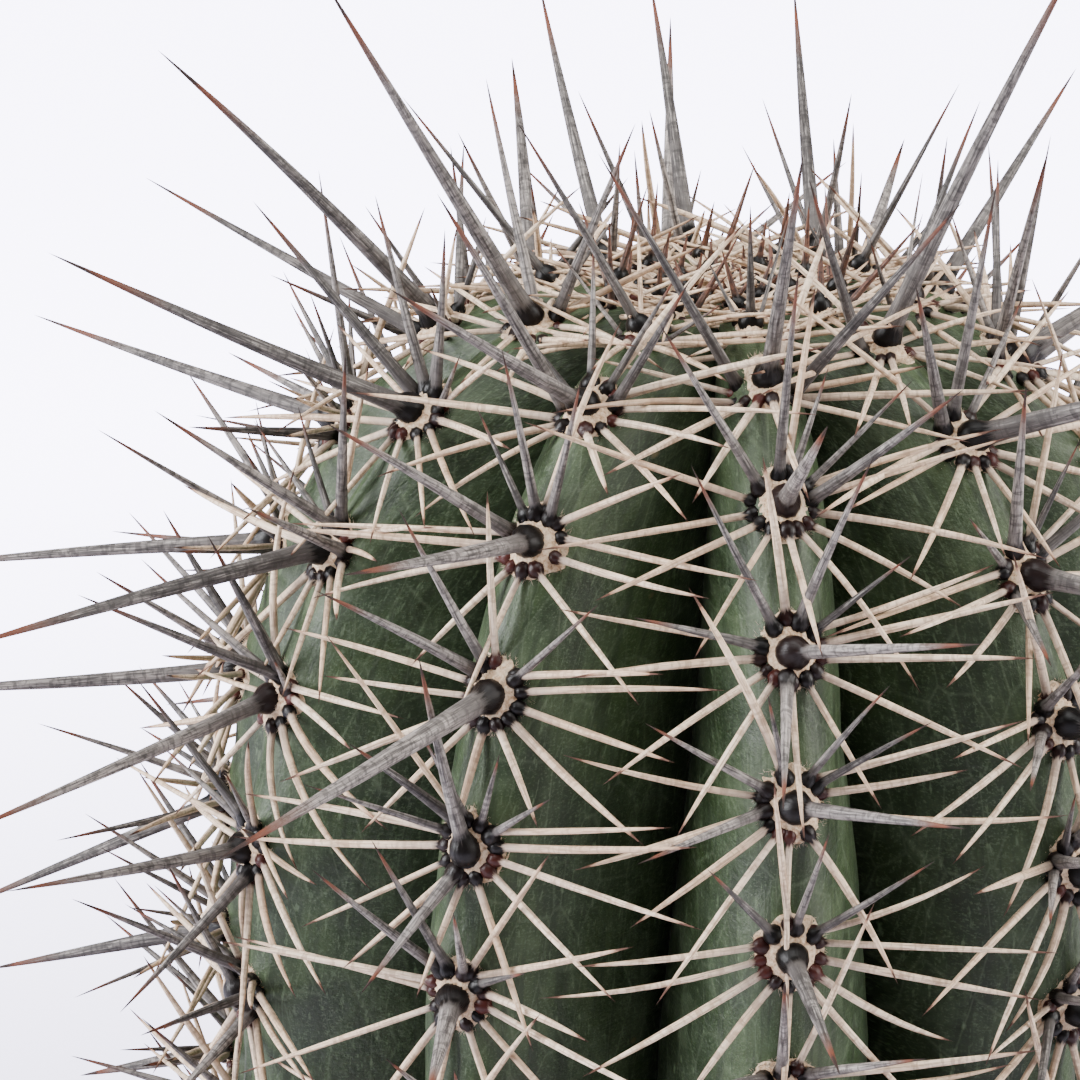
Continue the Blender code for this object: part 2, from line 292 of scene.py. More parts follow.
def laid_over(tree, share, under, over):
    """A colour with this share of another one laid over it."""
    return add_node(tree, "MixRGB", {"Fac": share, "Color1": under, "Color2": over}).outputs["Color"]


POINTS_PER_RIB = 34
RING_STEP = 0.95 * MM
MOUND_RISE = 1.1 * MM
MOUND_REACH = 5.5 * MM
CREASE_DEPTH = 0.35 * MM
CREASE_HALF_WIDTH = 0.5 * MM
FIRST_RING = 0.8 * MM
CREST_CROWDING = 1.35
RIPPLE_HEIGHT = 0.35 * MM
RIPPLE_WIDTH = 11 * MM


def make_stem():
    ring_count = int(CREST_LENGTH / RING_STEP)
    distances = np.linspace(FIRST_RING, CREST_LENGTH, ring_count)
    radius, height = crest(distances)
    below = np.linspace(0, BURIED, 6)[1:]
    distances = np.append(distances, CREST_LENGTH + below)
    radius = np.append(radius, radius[-1] - 0.5 * below)
    height = np.append(height, SOIL_TOP - below)

    # Points crowd towards the crests, where the creases and the mounds under the areoles are.
    share = np.arange(POINTS_PER_RIB) / POINTS_PER_RIB * 2 - 1
    sweep = math.pi / 2 * np.sign(share) * np.abs(share) ** CREST_CROWDING
    sweeps = np.tile(sweep, RIB_COUNT)
    ribs = np.repeat(np.arange(RIB_COUNT), POINTS_PER_RIB)
    surface, azimuth, half_turn = rib_shape(radius, height, ribs, sweeps)

    across = radius[:, None] * half_turn * np.sin(sweeps)
    nearest = np.full((len(distances), len(sweeps)), 1.0)
    for rib in range(RIB_COUNT):
        columns = ribs == rib
        for _, areole in areoles(rib):
            gap = np.hypot(distances[:, None] - areole, across[:, columns])
            nearest[:, columns] = np.minimum(nearest[:, columns], gap)
    grown = np.clip(distances / YOUNG_ZONE, 0, 1)[:, None]
    mound = MOUND_RISE * grown * np.exp(-((nearest / MOUND_REACH) ** 2))
    crease = CREASE_DEPTH * grown * np.exp(-((across / CREASE_HALF_WIDTH) ** 2))

    points = place(surface, azimuth, height[:, None])
    flat = points.reshape(-1, 3)
    ripple = np.array([noise.fractal(Vector(p) / RIPPLE_WIDTH, 1.0, 2.0, 3) for p in flat])
    swell = mound - crease + RIPPLE_HEIGHT * ripple.reshape(mound.shape) * grown
    points = place(surface + swell, azimuth, height[:, None])

    rings, around = len(distances), len(sweeps)
    quads = grid_quads(rings, around)[:, ::-1]
    ends = np.array([[STEM_BEND, 0, APEX_HEIGHT - APEX_DIP - 0.1 * MM], [0, 0, SOIL_TOP - BURIED]])
    vertices = np.concatenate([points.reshape(-1, 3), ends])
    top = fan(rings * around, 0, around)
    foot = fan(rings * around + 1, (rings - 1) * around, around)[:, ::-1]
    piece = mesh_piece("ribbed_stem", vertices, quads, np.concatenate([top, foot]))

    # Each rib's pattern is read 100 mm from the next one's, so that no two are alike.
    place_on_rib = np.stack(np.broadcast_arrays(across, distances[:, None], ribs * 0.1), axis=-1)
    place_on_rib = np.concatenate([place_on_rib.reshape(-1, 3), np.zeros((2, 3))])
    write_attribute(piece, "place_on_rib", place_on_rib / MM)
    write_attribute(piece, "near_areole", np.append(nearest.ravel(), [0, 0]) / MM)
    fold = np.broadcast_to(np.cos(sweeps), mound.shape)
    write_attribute(piece, "fold", np.append(fold.ravel(), [1, 1]))
    return piece


def waxy_cactus_skin():
    """A living cuticle: dull satin green, cloudy with wax, with painted shade in the folds and a few old
    specks.
    """
    material, tree, shader = new_material("waxy_cactus_skin")
    where = stored(tree, "place_on_rib")
    near = stored(tree, "near_areole", "Fac")
    fold = stored(tree, "fold", "Fac")

    # Growth makes soft patches some 9 mm wide, drawn out along the rib.
    along_rib = stretched(tree, where, (1, 0.55, 10))
    patches = clouds(tree, along_rib, 9, 4, 0.6)
    greens = ((0.30, "#182410"), (0.46, "#213017"), (0.60, "#2D3D1E"), (0.76, "#3A4B2A"))
    flesh = toned(tree, patches, greens)

    # Painted shade: the colour darkens from the crests down into the grooves, where the folds lie in shade.
    unshaded_share = graded(tree, fold, 0.15, 0.95)
    groove_shaded = laid_over(tree, unshaded_share, "#18220F", flesh)

    # Wax lies in cloudy films about 3 mm across with thin bare lines between them.
    film = clouds(tree, along_rib, 3.2, 6, 0.68)
    film_share = graded(tree, film, 0.47, 0.70, most=0.45)
    waxed = laid_over(tree, film_share, groove_shaded, "#526147")

    # Fine speckle of stomata, really 0.05 mm across and drawn 0.3 mm so that it shows.
    pores = clouds(tree, where, 0.3, 2, 0.7)
    pore_share = graded(tree, pores, 0.52, 0.70, most=0.48)
    speckled = laid_over(tree, pore_share, waxed, "#5F6F54")

    # Skin is rubbed paler and greyer in a ring 5 to 8 mm from each areole's middle.
    ring = graded(tree, near, 8.5, 5.0, most=0.35)
    pale = laid_over(tree, ring, speckled, "#4E5D3D")

    # Strands run down the flanks, about 1 mm wide and many millimetres long.
    strands = clouds(tree, stretched(tree, where, (1, 0.07, 10)), 1.1, 3, 0.6)
    strand_share = graded(tree, strands, 0.47, 0.62, most=0.62)
    stranded = laid_over(tree, strand_share, pale, "#1A2611")

    # Faint hairline cracks in the wax run down the flanks, some 0.1 mm wide and 3 mm apart.
    cells = {"Vector": stretched(tree, where, (1, 0.3, 10)), "Scale": 1 / 3.2, "Randomness": 1.0}
    cracks = add_node(tree, "TexVoronoi", cells, feature="DISTANCE_TO_EDGE")
    crack_share = graded(tree, cracks.outputs["Distance"], 0.03, 0.0, most=0.26)
    cracked = laid_over(tree, maths(tree, "MULTIPLY", crack_share, film), stranded, "#7D8C70")

    # Short pale scuffs where the wax has been brushed, 0.4 mm wide and 2 mm long.
    scuffs = clouds(tree, stretched(tree, where, (1, 0.2, 10)), 0.45, 3, 0.6)
    scuff_share = graded(tree, scuffs, 0.60, 0.72, most=0.5)
    scuffed = laid_over(tree, scuff_share, cracked, "#687A5C")

    # A few round corky scars, 1 mm across.
    scars = add_node(tree, "TexVoronoi", {"Vector": where, "Scale": 1 / 13, "Randomness": 1.0})
    scar_share = graded(tree, scars.outputs["Distance"], 0.065, 0.035, most=0.7)
    scarred = laid_over(tree, scar_share, scuffed, "#8A7550")

    pitting = relief(tree, clouds(tree, where, 0.8, 5, 0.65), 0.35, 0.3 * MM)
    skin = {
        "Base Color": scarred,
        "Roughness": graded(tree, film, 0.35, 0.7, most=0.60, least=0.42),
        "IOR": 1.45,
        "Subsurface Weight": 0.06,
        "Subsurface Radius": (0.4, 1.0, 0.25),
        "Subsurface Scale": 1.5 * MM,
        "Normal": relief(tree, film, 0.5, 0.8 * MM, under=pitting),
    }
    feed(tree, shader, skin)
    return material


stem = make_stem()
stem.data.materials.append(waxy_cactus_skin())
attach(stem, "root")
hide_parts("stem")

# ---- Areole felt ----
# An areole is the cushion that a cluster of spines grows from. It is packed plant wool, cream on top
# and browner with age, raised in ridges between the spines' bulbs and fringed with loose hairs.

PAD_HALF_WIDTH = 4.1 * MM
PAD_HALF_LENGTH = 4.5 * MM
PAD_RISE = 0.9 * MM
PAD_BASE = 0.5 * MM
PAD_SKIRT = 1.8 * MM
PAD_ROOT = 1.5 * MM
TUFT_HEIGHT = 0.09 * MM
CREST_BOW_RADIUS = 60 * MM
PAD_SIDES = 44
PAD_RINGS = (0.0, 0.14, 0.28, 0.42, 0.56, 0.68, 0.79, 0.88, 0.95, 1.0, 1.04)
HAIRS_PER_PAD = 380
HAIR_RADIUS = 0.045 * MM


def areole_frame(rib, distance):
    """An areole's place, and its outward, upward and sideways directions."""
    azimuth = FRONT_RIB_TURN + rib * RIB_PITCH
    radius, height = crest(distance)
    above, below = crest(max(distance - MM, 0)), crest(distance + MM)
    run = math.hypot(below[0] - above[0], below[1] - above[1])
    out, up = (above[1] - below[1]) / run, (below[0] - above[0]) / run
    radial = np.array([math.sin(azimuth), -math.cos(azimuth), 0])
    vertical = np.array([0, 0, 1.0])
    side = np.array([math.cos(azimuth), math.sin(azimuth), 0])
    return place(radius, azimuth, height), radial * out + vertical * up, vertical * out - radial * up, side


def areole_size(distance):
    """An areole's size as a share of a full-grown one. Young ones are small, and crowd together."""
    return float(np.clip(0.42 + 0.62 * distance / YOUNG_ZONE, 0.5, 1.0))


def skin_fall(rib, distance):
    """How far the skin has fallen below the crest at distances to the sides of it."""
    radius, height = crest(distance)
    sweeps = np.linspace(-0.9, 0.9, 61)
    ribs = np.full(61, rib)
    surface, azimuth, _ = rib_shape(np.array([radius]), np.array([height]), ribs, sweeps)
    turn = azimuth[0] - FRONT_RIB_TURN - RIB_PITCH * rib
    return surface[0] * np.sin(turn), radius - surface[0] * np.cos(turn)


def grown_areoles(rib):
    """Each areole of a rib: number, distance, place, three directions, size and the skin's fall."""
    for number, distance in areoles(rib):
        yield number, distance, *areole_frame(rib, distance), areole_size(distance), skin_fall(rib, distance)


def pad_surface(across, up, size, fall):
    """Height of the felt above the crest there, as it follows the skin down its sides."""
    middle = np.clip(1 - (np.hypot(across / PAD_HALF_WIDTH, up / PAD_HALF_LENGTH) / size) ** 2.4, 0, 1)
    sunk = np.interp(across, *fall) + up**2 / (2 * CREST_BOW_RADIUS)
    return PAD_BASE + PAD_RISE * size * middle**0.8 - sunk


def either(rng, chosen, some, others):
    """Random numbers out of one range where chosen, and out of another range elsewhere."""
    return np.where(chosen, rng.uniform(*some, len(chosen)), rng.uniform(*others, len(chosen)))


def square_to(way, aside):
    """Two directions for each way, square to it and to each other."""
    first = np.cross(way, aside)
    first /= np.linalg.norm(first, axis=1)[:, None]
    return first, np.cross(way, first)


def make_felt(rib, rng):
    points, quads, triangles, fibre = [], [], [], []
    count = 0
    turn = full_turn(PAD_SIDES)
    for _, distance, origin, outward, upward, side, size, fall in grown_areoles(rib):
        wobble = 1 + 0.05 * np.sin(3 * turn + rng.uniform(0, 6))
        wobble += 0.045 * np.sin(7 * turn + rng.uniform(0, 6))
        share = np.array(PAD_RINGS)[1:, None]
        across = PAD_HALF_WIDTH * size * share * wobble * np.cos(turn)
        up = PAD_HALF_LENGTH * size * share * wobble * np.sin(turn)
        tuft = rng.normal(0, TUFT_HEIGHT, across.shape)
        lift = pad_surface(across, up, size, fall) + tuft * (share < 0.97)
        lift[-1] -= PAD_SKIRT
        cushion = origin + across[..., None] * side + up[..., None] * upward + lift[..., None] * outward
        middle = origin + outward * pad_surface(0.0, 0.0, size, fall)
        rows = len(PAD_RINGS) - 1
        points += [cushion.reshape(-1, 3), middle[None], (origin - outward * PAD_ROOT)[None]]
        quads.append(grid_quads(rows, PAD_SIDES) + count)
        ring_end = count + rows * PAD_SIDES
        triangles.append(fan(ring_end, count, PAD_SIDES))
        triangles.append(fan(ring_end + 1, ring_end - PAD_SIDES, PAD_SIDES)[:, ::-1])
        age = min(distance / 0.2, 1.0)
        fibre.append(np.tile([0.0, age, rng.uniform()], (rows * PAD_SIDES + 2, 1)))
        count += rows * PAD_SIDES + 2

        # Loose hairs: most stand round the rim, the others on top of the cushion.
        hairs = int(HAIRS_PER_PAD * size)
        around = rng.uniform(0, 2 * math.pi, hairs)
        rim = rng.uniform(0, 1, hairs) < 0.6
        reach = either(rng, rim, (0.84, 1.02), (0.2, 0.9))
        across = PAD_HALF_WIDTH * size * reach * np.cos(around)
        up = PAD_HALF_LENGTH * size * reach * np.sin(around)
        root = pad_surface(across, up, size, fall) - 0.1 * MM
        spread = either(rng, rim, (0.6, 1.5), (0.0, 0.6))
        twist = around + rng.normal(0, 0.5, hairs)
        flat = np.cos(twist)[:, None] * side + np.sin(twist)[:, None] * upward
        way = outward + flat * np.tan(np.clip(spread, 0, 1.35))[:, None]
        way /= np.linalg.norm(way, axis=1)[:, None]
        length = either(rng, rim, (0.4, 0.95), (0.3, 0.6)) * MM * size
        base = origin + across[:, None] * side + up[:, None] * upward + root[:, None] * outward
        first, second = square_to(way, side + 0.3 * upward)
        corners = [base + HAIR_RADIUS * (math.cos(a) * first + math.sin(a) * second) for a in full_turn(3)]
        tips = base + way * length[:, None]
        blades = np.stack([*corners, tips], axis=1).reshape(-1, 3)
        start = count + 4 * np.arange(hairs)[:, None]
        faces = np.array([[0, 1, 3], [1, 2, 3], [2, 0, 3], [0, 2, 1]])
        triangles.append((start[:, :, None] + faces[None]).reshape(-1, 3))
        points.append(blades)
        fibre.append(np.tile([1.0, age, 0.5], (4 * hairs, 1)))
        count += 4 * hairs
    faces = np.concatenate(quads), np.concatenate(triangles)
    piece = mesh_piece(f"areole_felt_{rib + 1:02d}", np.concatenate(points), *faces)
    write_attribute(piece, "fibre", np.concatenate(fibre))
    return piece


def areole_wool():
    """Packed plant wool: a soft matt cream that browns with age, and paler at its loose hairs."""
    material, tree, shader = new_material("areole_wool")
    parts = add_node(tree, "SeparateXYZ", {"Vector": stored(tree, "fibre")})
    where = add_node(tree, "TexCoord", {}).outputs["Object"]
    tufts = clouds(tree, where, 0.5 * MM, 5, 0.7)
    creams = ((0.28, "#8A6444"), (0.42, "#CCA782"), (0.55, "#EACFAE"), (0.75, "#F8E8D2"))
    wool = toned(tree, tufts, creams)
    old = graded(tree, parts.outputs["Y"], 0.25, 1, most=0.45)
    aged = laid_over(tree, old, wool, "#9C7F68")
    felt = {
        "Base Color": laid_over(tree, parts.outputs["X"], aged, "#CFB9A0"),
        "Roughness": 0.95,
        "Specular IOR Level": 0.2,
        "Sheen Weight": 0.4,
        "Sheen Roughness": 0.6,
        "Sheen Tint": "#FFF4E6",
        "Normal": relief(tree, clouds(tree, where, 0.22 * MM, 3, 0.7), 0.8, 0.3 * MM),
    }
    feed(tree, shader, felt)
    return material


wool = areole_wool()
for rib in range(RIB_COUNT):
    felt = make_felt(rib, np.random.default_rng(100 + rib))
    felt.data.materials.append(wool)
    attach(felt, "root")
    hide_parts(f"spine_row_{rib + 1:02d}")

# ---- Central spines ----
# Each areole's strongest spines are hard horn-like rods that grow from a black bulb. They are grey and
# finely streaked, red-brown at the tip, and the lowest one of a cluster is the longest.

# Chosen clusters, by rib and areole number: each spine's turn round the areole from its right-hand side,
# its lean from straight out, its length and its thickness. Degrees and millimetres.
FRONT_CLUSTERS = {
    (0, -1): ((-100, 6, 36, 2.1), (160, 32, 35, 1.5), (-10, 27, 34, 1.6)),
    (0, 0): ((-105, 10, 34, 2.0), (138, 42, 26, 1.3), (8, 30, 27, 1.5), (94, 28, 29, 1.3)),
    (0, 1): (
        (-8, 30, 30, 1.6), (-104, 50, 20, 1.5), (123, 56, 24, 1.3), (73, 44, 25, 1.3), (168, 62, 18, 1.3)
    ),
    (0, 2): ((1, 32, 26, 1.7), (-168, 56, 20, 1.4), (149, 66, 19, 1.1), (60, 50, 18, 1.0)),
    (0, 3): ((-91, 9, 26, 2.2), (130, 60, 16, 1.1), (40, 62, 18, 1.1)),
    (1, -1): ((-78, 6, 57, 2.5), (170, 34, 30, 1.5), (30, 30, 30, 1.4)),
    (1, 0): ((-50, 30, 48, 2.5), (139, 40, 24, 1.6), (100, 30, 30, 1.5)),
    (2, 0): ((-40, 34, 46, 2.2), (145, 41, 36, 1.7), (60, 44, 22, 1.3)),
    (3, -1): ((-41, 41, 46, 2.1), (120, 40, 22, 1.3)),
    (4, -1): ((-51, 42, 54, 2.2), (120, 36, 24, 1.3)),
    (5, -1): ((-93, 42, 50, 2.2), (60, 30, 20, 1.2)),
    (6, -1): ((-123, 47, 48, 2.0), (60, 36, 20, 1.2)),
    (6, 0): ((-148, 45, 50, 2.3), (40, 40, 24, 1.4)),
    (7, 0): ((6, 32, 54, 2.4), (-100, 30, 40, 1.8), (150, 44, 24, 1.3)),
    (1, 1): ((-70, 30, 36, 2.4), (111, 50, 24, 1.6), (-147, 49, 20, 1.5), (30, 45, 26, 1.4)),
    (9, 0): ((-124, 26, 35, 1.9), (176, 8, 36, 1.8), (26, 38, 22, 1.4)),
    (9, 1): ((-74, 22, 50, 2.0), (166, 20, 31, 1.7), (92, 40, 22, 1.2), (62, 46, 20, 1.2)),
    (9, 2): ((-101, 23, 50, 2.5), (140, 26, 26, 1.5), (114, 50, 22, 1.3), (40, 66, 17, 1.1)),
    (9, 3): ((95, 62, 26, 1.9), (125, 44, 18, 1.5), (-110, 48, 18, 1.7), (35, 60, 15, 1.0)),
    (9, 4): ((-20, 24, 22, 2.3), (107, 64, 20, 1.3), (128, 55, 21, 1.4), (70, 50, 17, 1.2)),
    (8, -1): ((-58, 19, 54, 2.3), (150, 30, 30, 1.6), (60, 36, 26, 1.5)),
    (8, 0): ((-70, 19, 52, 2.4), (150, 16, 31, 1.8), (70, 45, 22, 1.4), (120, 40, 24, 1.4)),
    (8, 1): ((-49, 31, 54, 2.3), (63, 12, 30, 1.7), (12, 34, 25, 1.5), (72, 60, 24, 1.5)),
    (8, 2): ((-46, 28, 46, 2.1), (69, 16, 30, 1.5), (72, 50, 24, 1.5), (150, 50, 22, 1.4)),
    (8, 3): ((7, 19, 35, 1.8), (110, 55, 22, 1.4), (-60, 40, 24, 1.6)),
    (8, 4): ((99, 66, 20, 1.4), (83, 34, 26, 1.5), (14, 24, 19, 1.4), (-30, 36, 20, 1.8)),
}
# Spines nearer the apex than this are small and still red-brown. Their shade is below nought.
YOUNG_SPINES = 0.019


def generic_cluster(distance, rng):
    """Central spines of an ordinary areole, as its age on the stem gives them."""
    old = float(np.clip((distance - 0.095) / 0.05, 0, 1))
    side = rng.choice((-1, 1))
    if distance < YOUNG_SPINES:
        small = distance / YOUNG_ZONE
        return [
            (rng.uniform(0, 360), rng.uniform(4, 44), rng.uniform(14, 36) * small, 0.6 + 0.9 * small)
            for _ in range(1 + (distance > 0.012))
        ]
    if distance < YOUNG_ZONE:
        grown = distance / YOUNG_ZONE
        cluster = [
            (-90 + side * rng.uniform(5, 70), rng.uniform(12, 34), rng.uniform(26, 48) * grown, 1.9 * grown)
        ]
        for turn in (150, 35):
            lean = rng.uniform(34, 60)
            cluster.append(
                (turn + rng.normal(0, 22), lean, rng.uniform(15, 28) * grown, rng.uniform(1.0, 1.4) * grown)
            )
        return cluster
    main = rng.uniform(42, 53) + (rng.uniform(24, 34) - 47) * old
    cluster = [(-90 + side * rng.uniform(10, 45), rng.uniform(16, 30), main, rng.uniform(2.1, 2.5))]
    for turn, lean in ((142, 40), (44, 42), (92, 46), (178, 58), (2, 52)):
        if rng.uniform() < 0.86:
            reach = rng.uniform(19, 30) - 4 * old
            cluster.append((turn + rng.normal(0, 8), lean + rng.normal(0, 7), reach, rng.uniform(1.1, 1.6)))
    return cluster


def spine_way(turn, lean, outward, upward, side):
    """A direction at this turn round the areole and this lean from straight out, in degrees."""
    turn, lean = math.radians(turn), math.radians(lean)
    flat = side * math.cos(turn) + upward * math.sin(turn)
    return outward * math.cos(lean) + flat * math.sin(lean)


# Rings round the bulb, in bulb radii along the spine from the bulb's middle.
BULB_STATIONS = np.array([-0.85, -0.55, -0.2, 0.15, 0.45, 0.7, 0.9, 1.08, 1.3])
Spine = namedtuple("Spine", "root way length bulb shaft bend shade")


def make_spines(name, spines, sides, shaft_stations, taper, rng):
    """Turns each spine from its bulb to its point."""
    count = len(spines)
    columns = Spine(*(np.array(column) for column in zip(*spines)))
    root, way, bend = columns.root, columns.way, columns.bend
    length, bulb, shaft, shade = (
        column[:, None] for column in (columns.length, columns.bulb, columns.shaft, columns.shade)
    )
    stations = np.array(shaft_stations)
    along = np.concatenate([BULB_STATIONS * bulb, 1.5 * bulb + stations * (length - 1.5 * bulb)], axis=1)
    share = np.clip(along / length, 0, 1)
    round_end = bulb * np.sqrt(np.clip(1 - (along / (1.12 * bulb)) ** 2, 0, 1))
    power, sharpness = taper
    collar = 1 + 0.16 * np.exp(-np.clip(along - bulb, 0, 1) / (0.9 * shaft))
    rod = np.where(along > 0, shaft * (1 - share**power) ** sharpness * collar, 0)
    radius = (round_end**5 + rod**5) ** 0.2
    radius = np.maximum(radius, 0.012 * MM)

    first, second = square_to(way, np.where(np.abs(way[:, 2:3]) > 0.8, [[1.0, 0, 0]], [[0, 0, 1.0]]))
    turn = full_turn(sides)
    phase = rng.uniform(0, 2 * math.pi, (count, 1, 1))
    ribbing = 1 + 0.06 * np.cos(2 * turn + phase) + 0.035 * np.cos(3 * turn - 2 * phase)
    ribbing = np.where(share[..., None] > 0, ribbing, 1)
    ring = radius[..., None] * ribbing
    centre = root[:, None] + way[:, None] * along[..., None] + bend[:, None] * (length * share**2)[..., None]
    across = ring * np.cos(turn)
    over = ring * np.sin(turn)
    first, second = first[:, None, None], second[:, None, None]
    points = centre[:, :, None] + across[..., None] * first + over[..., None] * second

    rings = points.shape[1]
    tips = (root + way * length + bend * length)[:, None]
    feet = (root - way * 0.95 * bulb)[:, None]
    vertices = np.concatenate([points.reshape(count, -1, 3), tips, feet], axis=1)
    per_spine = vertices.shape[1]
    offset = (np.arange(count) * per_spine)[:, None, None]
    quads = (grid_quads(rings, sides)[None] + offset).reshape(-1, 4)
    tip_fan = fan(rings * sides, (rings - 1) * sides, sides)[:, ::-1]
    fans = np.concatenate([tip_fan, fan(rings * sides + 1, 0, sides)])
    triangles = (fans[None] + offset).reshape(-1, 3)
    piece = mesh_piece(name, vertices.reshape(-1, 3), quads, triangles)

    def per_point(ring_values, tip_values, foot_values):
        body = np.repeat(ring_values[..., None], sides, axis=2).reshape(count, -1)
        return np.concatenate([body, tip_values, foot_values], axis=1).ravel()

    ones = np.ones((count, 1))
    travelled = per_point(share, ones, 0 * ones)
    bulb_share = per_point(np.clip(along / (1.9 * bulb), -1, 2), 2 * ones, -ones)
    shades = per_point(np.broadcast_to(shade, share.shape), shade, shade)
    write_attribute(piece, "growth", np.stack([travelled, bulb_share, shades], axis=1))
    seed = rng.uniform(0, 50, (count, 1, 1))
    across, over = np.cos(turn) * shaft[..., None] / MM, np.sin(turn) * shaft[..., None] / MM
    grain = np.stack(np.broadcast_arrays(across + seed, over, along[..., None] / MM), axis=-1)
    end = np.stack(np.broadcast_arrays(seed[:, 0], 0, length / MM), axis=-1)
    grain = np.concatenate([grain.reshape(count, -1, 3), end, end], axis=1)
    write_attribute(piece, "grain", grain.reshape(-1, 3))
    return piece


def dead_horn(name, shaft_stops, tip_stops, bulb_colours, streak_colour, base_colour):
    """Hardened spine: dry horn with fine streaks along it, a dull black bulb and a burnt-looking tip."""
    material, tree, shader = new_material(name)
    grain = stored(tree, "grain")
    parts = add_node(tree, "SeparateXYZ", {"Vector": stored(tree, "growth")})
    along, from_bulb, shade = (parts.outputs[axis] for axis in "XYZ")

    # Fibres run the whole length. They are some 0.1 mm wide and drawn 0.3 mm so that they show.
    fibres = clouds(tree, stretched(tree, grain, (1, 1, 0.07)), 0.3, 4, 0.7)
    # Weathering leaves soft blotches some 4 mm long.
    blotches = clouds(tree, stretched(tree, grain, (0.4, 0.4, 0.25)), 1.0, 4, 0.65)
    # Growth has left faint rings about 0.6 mm apart.
    rings = clouds(tree, stretched(tree, grain, (0.3, 0.3, 1)), 0.6, 2, 0.5)

    mixed = maths(tree, "MULTIPLY_ADD", blotches, 0.58, maths(tree, "MULTIPLY", shade, 0.42))
    shaft = toned(tree, mixed, shaft_stops)
    streak = graded(tree, fibres, 0.48, 0.60, most=0.82)
    streaked = laid_over(tree, streak, shaft, streak_colour)
    bleached = graded(tree, fibres, 0.44, 0.32, most=0.45)
    light = laid_over(tree, bleached, streaked, "#DDD5CC")
    ring = graded(tree, rings, 0.50, 0.60, most=0.55)
    ringed = laid_over(tree, ring, light, streak_colour)

    # The lowest third is darker and duller.
    low = maths(tree, "MULTIPLY_ADD", blotches, 0.5, along)
    low_share = graded(tree, low, 0.54, 0.30, most=0.7)
    based = laid_over(tree, low_share, ringed, base_colour)

    # The tip darkens over the last part, at a place that differs from spine to spine.
    ragged = maths(tree, "MULTIPLY_ADD", blotches, 0.18, along)
    tip_share = graded(tree, ragged, tip_stops[0][0] - 0.09, tip_stops[0][0] + 0.06)
    tipped = laid_over(tree, tip_share, based, toned(tree, ragged, tip_stops))

    # The bulb is near black, or dark red on a few spines, and its colour runs up the shaft along the fibres.
    bulb = laid_over(tree, maths(tree, "POWER", shade, 5.0), *bulb_colours)
    bulb_share = graded(tree, maths(tree, "MULTIPLY_ADD", fibres, 1.1, from_bulb), 1.42, 1.12)
    horn = {
        "Base Color": laid_over(tree, bulb_share, tipped, bulb),
        "Roughness": graded(tree, bulb_share, 0, 1, most=0.33, least=0.62),
        "Specular IOR Level": graded(tree, bulb_share, 0, 1, most=0.28, least=0.45),
        "IOR": 1.45,
        "Normal": relief(tree, fibres, 0.7, 0.15 * MM),
    }
    feed(tree, shader, horn)
    return material


grey_horn = dead_horn(
    "weathered_grey_horn",
    ((0.08, "#7A5140"), (0.27, "#3E3A39"), (0.42, "#5C5754"), (0.58, "#7D7672"), (0.80, "#A19891")),
    ((0.86, "#5E3E31"), (0.96, "#663623"), (1.03, "#2A1812")),
    ("#0A0807", "#1E1311"),
    "#1F1B1A",
    "#55504D",
)
CENTRAL_STATIONS = (0.0, 0.04, 0.1, 0.18, 0.27, 0.37, 0.48, 0.59, 0.7, 0.8, 0.88, 0.94, 0.98)
PAD_SEAT = 0.55 * MM
WEAK_SEAT = 3.0 * MM
MAIN_BULB = 1.95
WEAK_BULBS = (1.0, 1.22)


def cluster_of(rib, number, distance, rng):
    """The strong spines of an areole, and on a grown one the weak ones in the gaps at its top."""
    drawn = generic_cluster(distance, rng)
    cluster = list(FRONT_CLUSTERS.get((rib, number), drawn))
    for turn in (38, 66, 94, 122, 150):
        turn += rng.normal(0, 5)
        gap = min(abs(turn - strong[0]) for strong in cluster[1:] or cluster)
        if number >= 0 and gap > 23:
            cluster.append((turn, rng.uniform(50, 62), rng.uniform(12, 18), 1.0))
    return cluster


def central_spines(rib, rng):
    spines = []
    for number, distance, origin, outward, upward, side, size, fall in grown_areoles(rib):
        for order, (turn, lean, length, thickness) in enumerate(cluster_of(rib, number, distance, rng)):
            way = spine_way(turn, lean, outward, upward, side)
            seat = 0.0 if order == 0 else WEAK_SEAT * size
            across = seat * math.cos(math.radians(turn))
            up = seat * math.sin(math.radians(turn)) - (0.25 * MM if order == 0 else 0)
            lift = float(pad_surface(across, up, size, fall)) - PAD_SEAT * size
            bulb = (MAIN_BULB if order == 0 else rng.uniform(*WEAK_BULBS)) * MM * size
            bulb = max(bulb, 0.72 * thickness * MM)
            sideways = np.cross(way, outward)
            bend = rng.normal(0, 0.018) * sideways + rng.normal(0, 0.018) * np.cross(way, side)
            spines.append(
                Spine(
                    root=origin + side * across + upward * up + outward * (lift + 0.15 * bulb),
                    way=way,
                    length=length * MM,
                    bulb=bulb,
                    shaft=thickness / 2 * MM,
                    bend=bend,
                    shade=rng.uniform(0.2, 1.0) if distance > YOUNG_SPINES else -rng.uniform(0.3, 0.7),
                )
            )
    return spines


for rib in range(RIB_COUNT):
    rng = np.random.default_rng(300 + rib)
    spines = central_spines(rib, rng)
    piece = make_spines(f"central_spines_{rib + 1:02d}", spines, 12, CENTRAL_STATIONS, (1.25, 0.8), rng)
    piece.data.materials.append(grey_horn)
    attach(piece, "root")
    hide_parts(f"spine_row_{rib + 1:02d}")

# ---- Radial spines ----
# Round each areole's rim stand a dozen or more thin bone-coloured spines. They lie close to the skin,
# reach across the grooves to the next rib, and lace the whole stem together.

